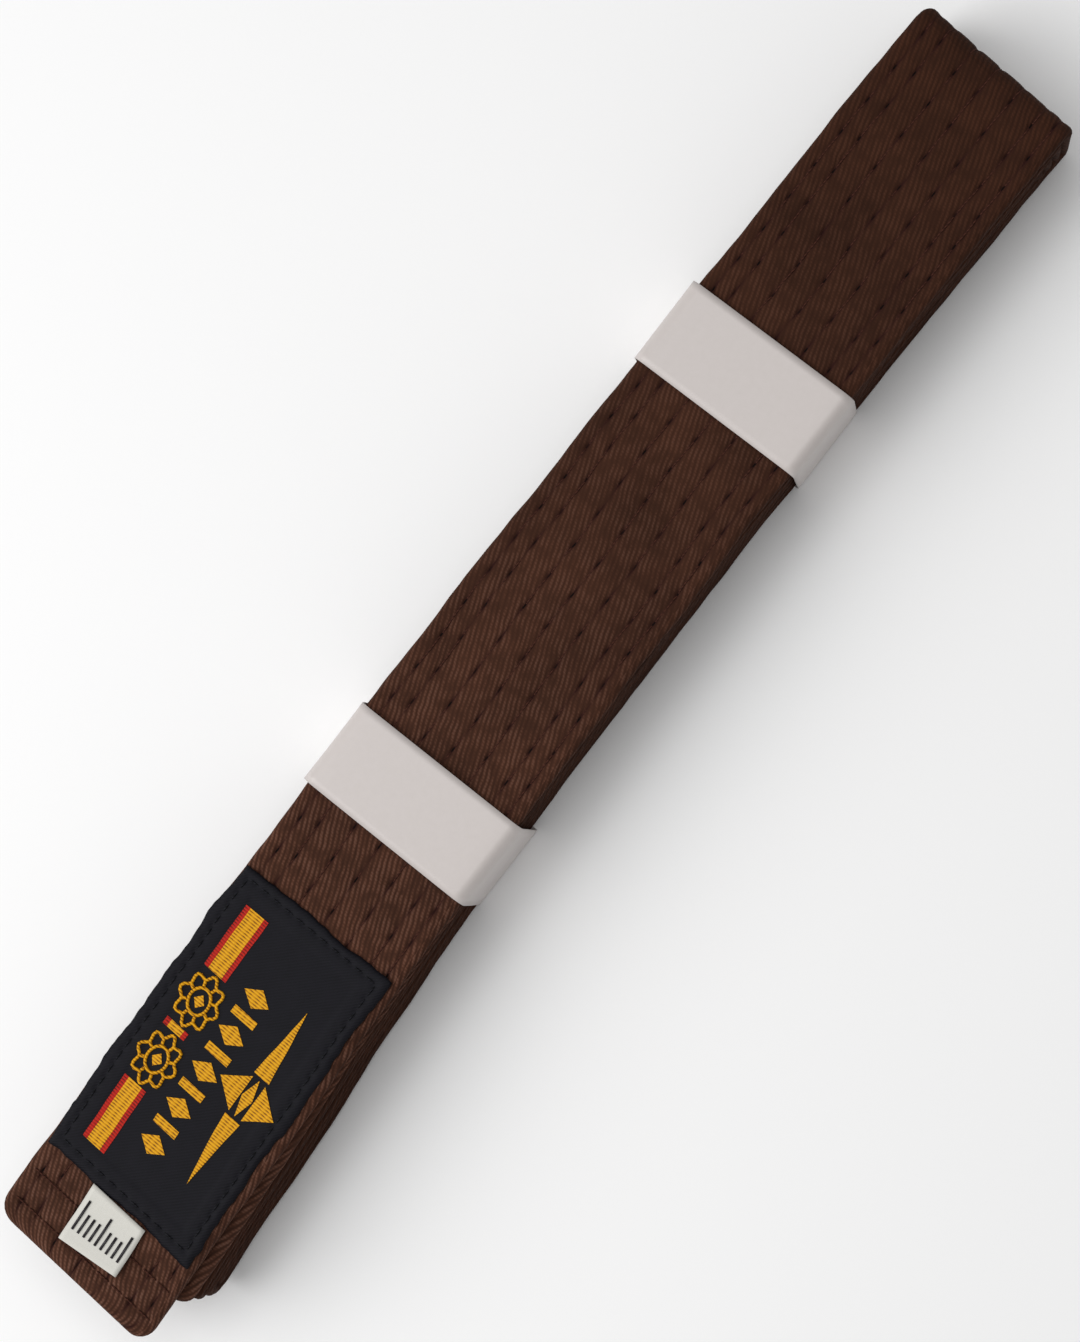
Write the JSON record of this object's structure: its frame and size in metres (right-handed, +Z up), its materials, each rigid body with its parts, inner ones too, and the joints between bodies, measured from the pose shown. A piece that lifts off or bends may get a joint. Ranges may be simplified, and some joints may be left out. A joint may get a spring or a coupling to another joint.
{
  "type": "martial arts belt",
  "caption": "Cotton martial arts belt with quilted stitching and a woven label, folded flat into a bundle and held by paper bands.",
  "frame": {"origin": "middle of the underside of the folded bundle, on the surface that the two bands rest on", "axes": "+X along the belt from the label end to the far folds, +Y across it to the label's left edge, +Z up through the layers"},
  "size_m": [0.307, 0.0404, 0.0259],
  "materials": {
    "brown_twill": "cotton and polyester twill, dyed brown",
    "cotton_padding": "unbleached cotton, matt",
    "brown_thread": "spun polyester sewing thread",
    "label_satin": "woven polyester satin with embroidered figures",
    "black_thread": "spun polyester sewing thread",
    "white_tape": "coated woven tape, smooth",
    "band_paper": "calendered white paper, slight gloss"
  },
  "bodies": {
    "bundle": {"bundle_cover": "brown_twill", "bundle_lower_ply": "cotton_padding", "bundle_stitch_row_1": "brown_thread", "bundle_stitch_row_2": "brown_thread", "bundle_stitch_row_3": "brown_thread", "bundle_stitch_row_4": "brown_thread", "bundle_stitch_row_5": "brown_thread", "bundle_stitch_row_6": "brown_thread", "bundle_stitch_row_7": "brown_thread", "bundle_upper_ply": "cotton_padding"},
    "label_end": {"label": "label_satin", "label_end_cover": "brown_twill", "label_end_hem_row_1": "brown_thread", "label_end_hem_row_2": "brown_thread", "label_end_lower_ply": "cotton_padding", "label_end_stitch_row_1": "brown_thread", "label_end_stitch_row_2": "brown_thread", "label_end_stitch_row_3": "brown_thread", "label_end_stitch_row_4": "brown_thread", "label_end_stitch_row_5": "brown_thread", "label_end_stitch_row_6": "brown_thread", "label_end_stitch_row_7": "brown_thread", "label_end_upper_ply": "cotton_padding", "label_stitching": "black_thread"},
    "plain_end": {"plain_end_cover": "brown_twill", "plain_end_hem_row_1": "brown_thread", "plain_end_hem_row_2": "brown_thread", "plain_end_lower_ply": "cotton_padding", "plain_end_stitch_row_1": "brown_thread", "plain_end_stitch_row_2": "brown_thread", "plain_end_stitch_row_3": "brown_thread", "plain_end_stitch_row_4": "brown_thread", "plain_end_stitch_row_5": "brown_thread", "plain_end_stitch_row_6": "brown_thread", "plain_end_stitch_row_7": "brown_thread", "plain_end_upper_ply": "cotton_padding"},
    "tag": {"size_tag": "white_tape"},
    "near_band": {"near_band_lap": "band_paper", "near_band_strip": "band_paper"},
    "far_band": {"far_band_lap": "band_paper", "far_band_strip": "band_paper"}
  },
  "joints": [
    {"name": "label_end_lift", "type": "hinge", "parent": "bundle", "child": "label_end", "pos_m": [-0.05, 0, 0.02475], "axis": [0, 1, 0], "range_deg": [0, 120]},
    {"name": "plain_end_lift", "type": "hinge", "parent": "bundle", "child": "plain_end", "pos_m": [-0.05, 0, 0.02475], "axis": [0, 1, 0], "range_deg": [0, 36]},
    {"name": "tag_lift", "type": "hinge", "parent": "label_end", "child": "tag", "pos_m": [-0.1357, 0.00075, 0.02595], "axis": [0, 1, 0], "range_deg": [0, 110]},
    {"name": "near_band_slide", "type": "slide", "parent": "bundle", "child": "near_band", "axis": [1, 0, 0], "range_m": [-0.004, 0.045]},
    {"name": "far_band_slide", "type": "slide", "parent": "bundle", "child": "far_band", "axis": [1, 0, 0], "range_m": [-0.03, 0.115]}
  ],
  "couplings": [
    {"joint": "plain_end_lift", "follows": "label_end_lift", "ratio": 0.3}
  ]
}
